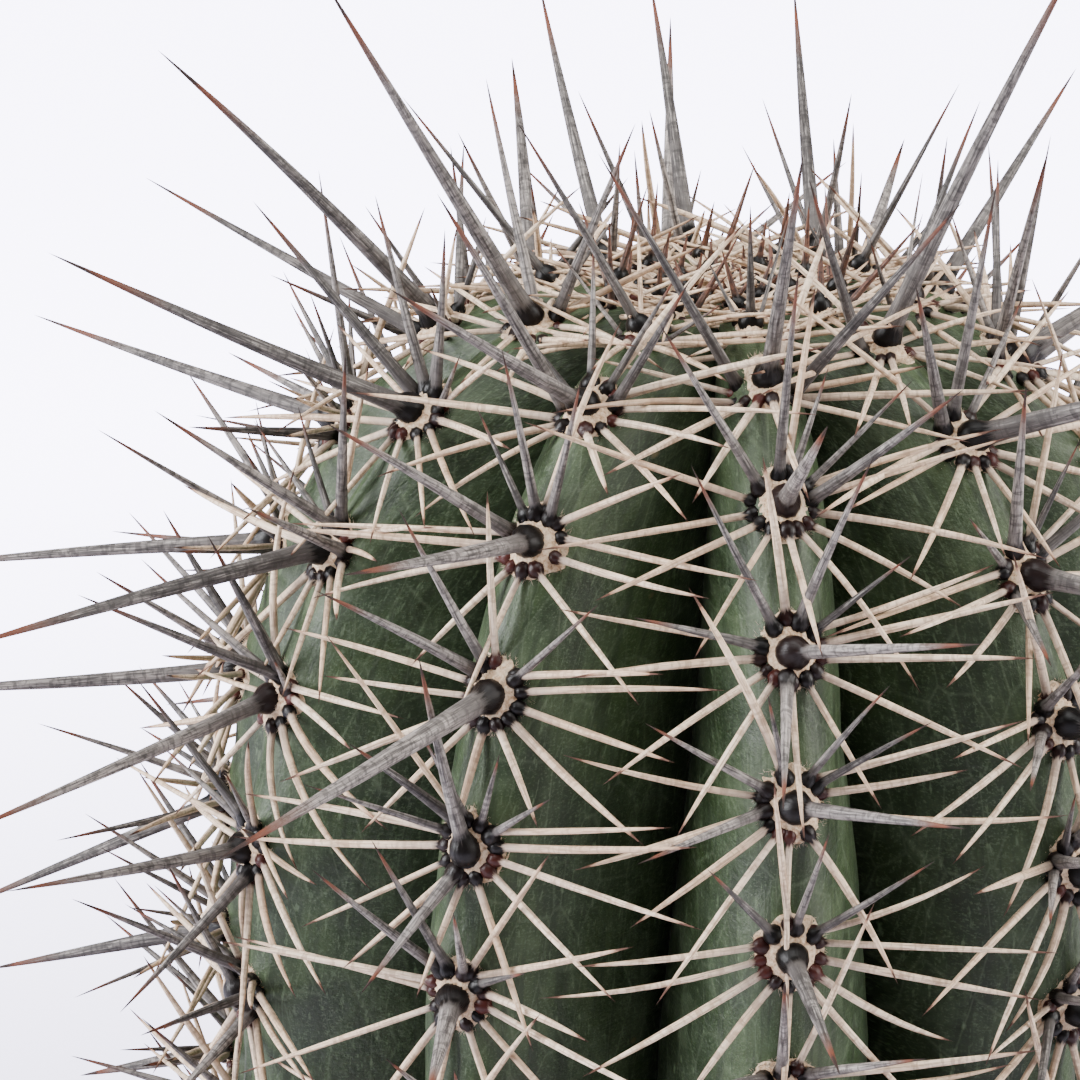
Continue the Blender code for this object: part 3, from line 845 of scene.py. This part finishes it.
bone_horn = dead_horn(
    "bone_coloured_horn",
    ((0.22, "#B4967C"), (0.36, "#D6B898"), (0.55, "#E8CDAF"), (0.80, "#F3DFC6")),
    ((0.95, "#C2A184"), (1.04, "#8C6049"), (1.10, "#553629")),
    ("#0D0908", "#48201A"),
    "#9C8069",
    "#A8978A",
)
# Where each bulb sits round the rim, and the way its spine points. Most sweep to the sides.
RADIAL_SEATS = (
    (42, 20), (14, 5), (-13, -11), (-40, -29), (-67, -56),
    (-93, -90), (-118, -127), (-143, -152), (-168, -170), (167, 175),
)
RADIAL_SEAT = 3.2 * MM
RADIAL_BULBS = (0.78, 1.08)
RADIAL_RADII = (0.36, 0.50)
RADIAL_STATIONS = (0.0, 0.06, 0.16, 0.3, 0.45, 0.6, 0.72, 0.82, 0.9, 0.96)


def radial_spines(rib, rng):
    spines = []
    for _, distance, origin, outward, upward, side, size, fall in grown_areoles(rib):
        young = float(np.clip(1 - distance / YOUNG_ZONE, 0, 1))
        seats = [(seat + rng.normal(0, 3), turn + rng.normal(0, 5)) for seat, turn in RADIAL_SEATS]
        if rng.uniform() < 0.45:
            seats.pop(rng.integers(3, 8))
        top = rng.uniform(55, 125)
        seats.append((top, top))
        for seat_turn, turn in seats:
            downward = max(-math.sin(math.radians(turn)), 0)
            upright = max(math.sin(math.radians(turn)), 0)
            reach = rng.uniform(22, 29) - 8 * downward**2 - 3 * upright
            lean = 78 - 10 * upright + 3 * downward - 2 * young + rng.normal(0, 5)
            lean = min(lean, 85)
            seat = RADIAL_SEAT * size
            across = seat * math.cos(math.radians(seat_turn))
            up = 1.08 * seat * math.sin(math.radians(seat_turn))
            lift = float(pad_surface(across, up, size, fall)) - 0.35 * MM * size
            bulb = rng.uniform(*RADIAL_BULBS) * MM * size
            way = spine_way(turn + rng.normal(0, 3), lean, outward, upward, side)
            curly = 0.05 if distance < 0.075 else 0.2
            curl = rng.uniform(0.15, 0.35) if rng.uniform() < curly else abs(rng.normal(0, 0.05))
            sideways = rng.normal(0, 0.04)
            grown = size * (0.7 + 0.3 * min(distance / YOUNG_ZONE, 1))
            spines.append(
                Spine(
                    root=origin + side * across + upward * up + outward * (lift + 0.1 * bulb),
                    way=way,
                    length=reach * MM * grown * (0.72 if rng.uniform() < 0.08 else 1),
                    bulb=bulb,
                    shaft=rng.uniform(*RADIAL_RADII) * MM * max(size, 0.7),
                    bend=-curl * outward + sideways * np.cross(way, outward),
                    shade=rng.uniform(0.0, 1.0) ** 0.7,
                )
            )
    return spines


for rib in range(RIB_COUNT):
    rng = np.random.default_rng(500 + rib)
    spines = radial_spines(rib, rng)
    piece = make_spines(f"radial_spines_{rib + 1:02d}", spines, 8, RADIAL_STATIONS, (3.2, 0.85), rng)
    piece.data.materials.append(bone_horn)
    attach(piece, "root")
    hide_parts(f"spine_row_{rib + 1:02d}")

# ---- Soil ----
# A fast-draining mix of dark loam, coarse sand, pumice and bark, filled loosely into the pot and
# settled a little below the rim.

SOIL_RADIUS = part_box("soil")[1].x
SOIL_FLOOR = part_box("soil")[0].z
POT_FOOT_INNER = 0.0582
SOIL_SUNK = 2.6 * MM
SOIL_DISH = 2.0 * MM
LUMP_HEIGHT = 1.3 * MM
LUMP_WIDTH = 6 * MM
GRIT_COUNT = 5200


def soil_level(x, y):
    """Height of the soil's loose top, which is lumpy and slopes down towards the wall."""
    places = zip(x.ravel(), y.ravel())
    lumps = np.array([noise.fractal(Vector((*at, 0)) / LUMP_WIDTH, 0.8, 2.0, 4) for at in places])
    dish = SOIL_DISH * (np.hypot(x, y) / SOIL_RADIUS) ** 4
    return SOIL_TOP - SOIL_SUNK + LUMP_HEIGHT * np.clip(lumps.reshape(x.shape), -1, 1) - dish


def make_soil(rng):
    turns = 168
    radii = np.concatenate([np.linspace(0.030, SOIL_RADIUS - 1.2 * MM, 46), [SOIL_RADIUS - 0.9 * MM]])
    turn = full_turn(turns)
    x, y = radii[:, None] * np.cos(turn), radii[:, None] * np.sin(turn)
    top = soil_level(x, y)
    top[-1] -= 6 * MM
    surface = np.stack([x, y, top], axis=-1)
    foot = POT_FOOT_INNER * np.cos(turn), POT_FOOT_INNER * np.sin(turn), np.full(turns, SOIL_FLOOR)
    points = np.concatenate([surface, np.stack(foot, axis=-1)[None]]).reshape(-1, 3)
    rows = len(radii) + 1
    hub = rows * turns
    quads = grid_quads(rows, turns)
    vertices = [points, np.array([[0, 0, SOIL_TOP - 4 * MM], [0, 0, SOIL_FLOOR]])]
    faces = [fan(hub, 0, turns), fan(hub + 1, hub - turns, turns)[:, ::-1]]
    kinds = [np.tile([0.0, 0.0, 0.0], (hub + 2, 1))]

    # Grains: lumpy stones of many sizes, most of them sand and grit and a few pumice and bark bits.
    golden = (1 + 5**0.5) / 2
    signs = [(a, b * golden) for a in (-1, 1) for b in (-1, 1)]
    ball = [(a, b, 0) for a, b in signs] + [(0, a, b) for a, b in signs] + [(b, 0, a) for a, b in signs]
    ball = np.array(ball) / np.linalg.norm(ball[0])
    edge = np.linalg.norm(ball[:, None] - ball[None], axis=2)
    ball_faces = []
    for i, j, k in combinations(range(12), 3):
        if max(edge[i, j], edge[j, k], edge[i, k]) < 1.1:
            outward = np.dot(np.cross(ball[j] - ball[i], ball[k] - ball[i]), ball[i]) > 0
            ball_faces.append((i, j, k) if outward else (k, j, i))
    reach = np.sqrt(rng.uniform(0.036**2, (SOIL_RADIUS - 2.5 * MM) ** 2, GRIT_COUNT))
    turn = rng.uniform(0, 2 * math.pi, GRIT_COUNT)
    grade = rng.uniform(0, 1, GRIT_COUNT)
    half = either(rng, grade < 0.9, (0.35, 0.95), (1.0, 2.2)) * MM
    stretch = rng.uniform(0.55, 1.25, (GRIT_COUNT, 12, 1)) * 0.5 + rng.uniform(0.4, 0.75, (GRIT_COUNT, 1, 3))
    grains = ball[None] * stretch * half[:, None, None]
    x, y = reach * np.cos(turn), reach * np.sin(turn)
    grains += np.stack([x, y, soil_level(x, y) + 0.15 * half], axis=1)[:, None]
    start = hub + 2 + 12 * np.arange(GRIT_COUNT)[:, None, None]
    faces.append((start + np.array(ball_faces)).reshape(-1, 3))
    vertices.append(grains.reshape(-1, 3))
    kind = np.stack([np.ones(GRIT_COUNT), rng.uniform(0, 1, GRIT_COUNT), grade], axis=1)
    kinds.append(np.repeat(kind, 12, axis=0))
    piece = mesh_piece("potting_soil", np.concatenate(vertices), quads, np.concatenate(faces))
    piece.data.set_sharp_from_angle(angle=math.radians(38))
    write_attribute(piece, "grit", np.concatenate(kinds))
    return piece


def gritty_loam():
    """Loam with sand, pumice and bark in it: dull brown-black crumbs between pale and tan grains."""
    material, tree, shader = new_material("gritty_loam")
    parts = add_node(tree, "SeparateXYZ", {"Vector": stored(tree, "grit")})
    where = add_node(tree, "TexCoord", {}).outputs["Object"]
    crumbs = clouds(tree, where, 1.3 * MM, 6, 0.7)
    browns = ((0.30, "#1E1712"), (0.50, "#3B2D22"), (0.64, "#574433"), (0.80, "#7A6650"))
    loam = toned(tree, crumbs, browns)
    bark = ((0.0, "#2B211A"), (0.30, "#4A392B"), (0.45, "#7C6149"))
    sand = ((0.60, "#9B8468"), (0.74, "#6E6A64"))
    pumice = ((0.88, "#B9AE9C"), (0.97, "#D8D0C2"))
    dusty = laid_over(tree, 0.35, toned(tree, parts.outputs["Y"], bark + sand + pumice), loam)
    gritty = {
        "Base Color": laid_over(tree, parts.outputs["X"], loam, dusty),
        "Roughness": 0.92,
        "Normal": relief(tree, crumbs, 0.7, 0.6 * MM),
    }
    feed(tree, shader, gritty)
    return material


soil = make_soil(np.random.default_rng(700))
soil.data.materials.append(gritty_loam())
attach(soil, "root")
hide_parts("soil")

# ---- Pot ----
# A plain thrown flowerpot of red clay, fired once and left unglazed, with a thick band round the rim
# and a drain hole in the foot.

POT_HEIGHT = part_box("pot")[1].z
BAND_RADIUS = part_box("pot")[1].x
POT_WALL = 7 * MM
BAND_PROUD = 4 * MM
POT_TOP_RADIUS = 0.091
POT_FOOT_RADIUS = 0.064
BAND_HEIGHT = 30 * MM
POT_FLOOR = 9 * MM
DRAIN_RADIUS = 9 * MM


def arc(centre, radius, start, end, steps=6):
    """Points on an arc of a profile, as radius and height. Angles in degrees."""
    angles = np.radians(np.linspace(start, end, steps))
    return [(centre[0] + radius * math.cos(a), centre[1] + radius * math.sin(a)) for a in angles]


def run(start, end, steps):
    """Points on a straight stretch of a profile, without its last one."""
    return [tuple(point) for point in np.linspace(start, end, steps, endpoint=False)]


def make_pot():
    slope = (POT_TOP_RADIUS - POT_FOOT_RADIUS) / POT_HEIGHT
    band_foot = POT_HEIGHT - BAND_HEIGHT

    def outer(height):
        return POT_FOOT_RADIUS + slope * height

    def inner(height):
        return outer(height) - POT_WALL

    lip = 2.4 * MM
    profile = run((DRAIN_RADIUS, 0.6 * MM), (POT_FOOT_RADIUS - 3 * MM, 0), 8)
    profile += arc((POT_FOOT_RADIUS - 1.8 * MM, 1.8 * MM), 1.8 * MM, -90, -8)
    profile += run((outer(4 * MM), 4 * MM), (outer(band_foot - 2 * MM), band_foot - 2 * MM), 44)
    profile += arc((outer(band_foot) + 1.6 * MM, band_foot - 1.6 * MM), 1.6 * MM, 180, 92, 5)
    profile += arc((BAND_RADIUS - 1.6 * MM, band_foot + 1.6 * MM), 1.6 * MM, -88, 0)
    profile += run((BAND_RADIUS, band_foot + 3 * MM), (BAND_RADIUS, POT_HEIGHT - 4 * MM), 14)
    profile += arc((BAND_RADIUS - lip, POT_HEIGHT - lip), lip, 8, 88)
    profile += arc((inner(POT_HEIGHT) + lip, POT_HEIGHT - lip), lip, 94, 176)
    below_lip, above_floor = POT_HEIGHT - 4 * MM, POT_FLOOR + 3 * MM
    profile += run((inner(below_lip), below_lip), (inner(above_floor), above_floor), 30)
    profile += arc((inner(POT_FLOOR) - 3 * MM, POT_FLOOR + 3 * MM), 3 * MM, 0, -88, 5)
    profile += run((POT_FOOT_RADIUS - 14 * MM, POT_FLOOR), (DRAIN_RADIUS, POT_FLOOR), 6)
    profile += [(DRAIN_RADIUS, POT_FLOOR - 1 * MM), (DRAIN_RADIUS - 0.4 * MM, POT_FLOOR / 2)]
    profile = np.array(profile)
    sides = 192
    turn = full_turn(sides)
    radius, height = profile[:, :1], profile[:, 1:]
    # Throwing rings, a potter's fingers' width apart, and the slight wander of a hand-thrown wall.
    outside = (radius > inner(height) + POT_WALL / 2) & (height > 2 * MM) & (height < POT_HEIGHT - 3 * MM)
    rings = 0.16 * MM * np.sin(height / (4.6 * MM) * 2 * math.pi + 0.6 * np.sin(turn))
    wander = 0.22 * MM * np.sin(2 * turn + 0.7) + 0.12 * MM * np.sin(5 * turn + height / (30 * MM))
    radius = radius + outside * (rings - 0.2 * MM) + (wander - 0.34 * MM) * height / POT_HEIGHT
    points = np.stack(np.broadcast_arrays(radius * np.cos(turn), radius * np.sin(turn), height), axis=-1)
    rows = len(profile)
    quads = grid_quads(rows + 1, sides) % (rows * sides)
    piece = mesh_piece("clay_pot", points.reshape(-1, 3), quads)
    piece.data.set_sharp_from_angle(angle=math.radians(50))
    return piece


def unglazed_terracotta():
    """Low-fired red clay left bare: dry and matt, cloudy orange to brown, with chalky salts."""
    material, tree, shader = new_material("unglazed_terracotta")
    where = add_node(tree, "TexCoord", {}).outputs["Object"]
    height = add_node(tree, "SeparateXYZ", {"Vector": where}).outputs["Z"]
    oranges = ((0.30, "#96492C"), (0.46, "#AC5B38"), (0.60, "#BC6D47"), (0.76, "#C98662"))
    clay = toned(tree, clouds(tree, where, 34 * MM, 5, 0.6), oranges)
    # Sand and grog in the clay, about 0.6 mm.
    grog = clouds(tree, where, 0.6 * MM, 3, 0.7)
    grog_share = graded(tree, grog, 0.58, 0.74, most=0.4)
    flecked = laid_over(tree, grog_share, clay, "#8A4A33")
    # Wheel marks: faint level bands about 1.5 mm apart.
    bands = clouds(tree, stretched(tree, where, (12, 12, 1 / (1.5 * MM))), 1.0, 3, 0.6)
    band_share = graded(tree, bands, 0.5, 0.8, most=0.3)
    banded = laid_over(tree, band_share, flecked, "#D9A184")
    # Salts climb from the foot and gather under the band.
    salts = clouds(tree, where, 16 * MM, 7, 0.68)
    damp = graded(tree, height, 0.060, 0.0, most=0.10, least=-0.16)
    salt_share = graded(tree, maths(tree, "ADD", salts, damp), 0.50, 0.72, most=0.6)
    sandy = relief(tree, grog, 0.35, 0.3 * MM)
    terracotta = {
        "Base Color": laid_over(tree, salt_share, banded, "#DCC9B8"),
        "Roughness": 0.88,
        "Normal": relief(tree, bands, 0.4, 0.5 * MM, under=sandy),
    }
    feed(tree, shader, terracotta)
    return material


pot = make_pot()
pot.data.materials.append(unglazed_terracotta())
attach(pot, "root")
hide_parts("pot")

# ---- Studio ----
# A pale seamless floor in a bright white room, with a large softbox on each side of the plant and a weak
# one above it. The camera has a long lens and looks down on the crown.

FLOOR_HALF = 9.0
CAMERA_SEEN_GLOW = 10.0
CAMERA_SEEN_GLOW_COLOUR = "#E5E1FD"


def make_floor():
    corners = np.array([[-1, -1, 0], [1, -1, 0], [1, 1, 0], [-1, 1, 0]]) * FLOOR_HALF
    floor = mesh_piece("studio_floor", corners, np.array([[0, 1, 2, 3]]))
    material, tree, shader = new_material("painted_glow_white_paper")
    # The paper has a painted glow, seen only by the camera, that grows from the pot outwards so that it
    # fades to white.
    where = add_node(tree, "TexCoord", {}).outputs["Object"]
    away = add_node(tree, "VectorMath", {0: where}, operation="LENGTH").outputs["Value"]
    spread = {"Value": away, "From Min": 0.12, "From Max": 1.10, "To Max": CAMERA_SEEN_GLOW}
    lit = add_node(tree, "MapRange", spread, interpolation_type="SMOOTHSTEP").outputs["Result"]
    seen = add_node(tree, "LightPath", {}).outputs["Is Camera Ray"]
    paper = {
        "Base Color": "#EAE7F8",
        "Roughness": 0.9,
        "Specular IOR Level": 0.1,
        "Emission Color": CAMERA_SEEN_GLOW_COLOUR,
        "Emission Strength": maths(tree, "MULTIPLY", lit, seen),
    }
    feed(tree, shader, paper)
    floor.data.materials.append(material)
    return floor


make_floor()

world = bpy.data.worlds.new("white_room")
bpy.context.scene.world = world
world.use_nodes = True
tree = world.node_tree
# The room lights the plant softly, and looks white behind it.
background = tree.nodes["Background"]
feed(tree, background, {"Color": "#F4F5FA", "Strength": 0.17})
seen_room = add_node(tree, "Background", {"Color": CAMERA_SEEN_GLOW_COLOUR, "Strength": CAMERA_SEEN_GLOW})
seen = add_node(tree, "LightPath", {}).outputs["Is Camera Ray"]
room = add_node(tree, "MixShader", {0: seen, 1: background.outputs[0], 2: seen_room.outputs[0]})
feed(tree, tree.nodes["World Output"], {"Surface": room.outputs[0]})


def soft_light(name, position, target, width, height, power, colour):
    """A rectangular softbox that faces a target."""
    lamp = bpy.data.lights.new(name, "AREA")
    lamp.shape = "RECTANGLE"
    lamp.size = width
    lamp.size_y = height
    lamp.energy = power
    lamp.color = linear(colour)[:3]
    light = bpy.data.objects.new(name, lamp)
    light.location = position
    light.rotation_euler = (Vector(target) - Vector(position)).to_track_quat("-Z", "Y").to_euler()
    bpy.context.scene.collection.objects.link(light)


crown = (0, 0, 0.27)
soft_light("right_softbox", (1.10, -0.22, 0.72), crown, 0.7, 1.0, 30, "#FFFDFA")
soft_light("left_softbox", (-1.10, -0.26, 0.72), crown, 0.6, 1.0, 48, "#FAFBFF")
soft_light("top_softbox", (0.05, -0.15, 1.35), crown, 0.9, 0.9, 16, "#FFFFFF")

CAMERA_PLACE = (-0.003, -0.421, 0.432)
CAMERA_TURN = math.radians(2.06)
CAMERA_TILT = math.radians(18.42)
SENSOR = 36.0
lens = bpy.data.cameras.new("portrait_lens")
lens.lens = 119.3
lens.sensor_width = SENSOR
lens.clip_start = 0.01
lens.clip_end = 50
camera = bpy.data.objects.new("camera", lens)
camera.location = CAMERA_PLACE
camera.rotation_euler = (math.pi / 2 - CAMERA_TILT, 0, CAMERA_TURN)
bpy.context.scene.collection.objects.link(camera)
bpy.context.scene.camera = camera
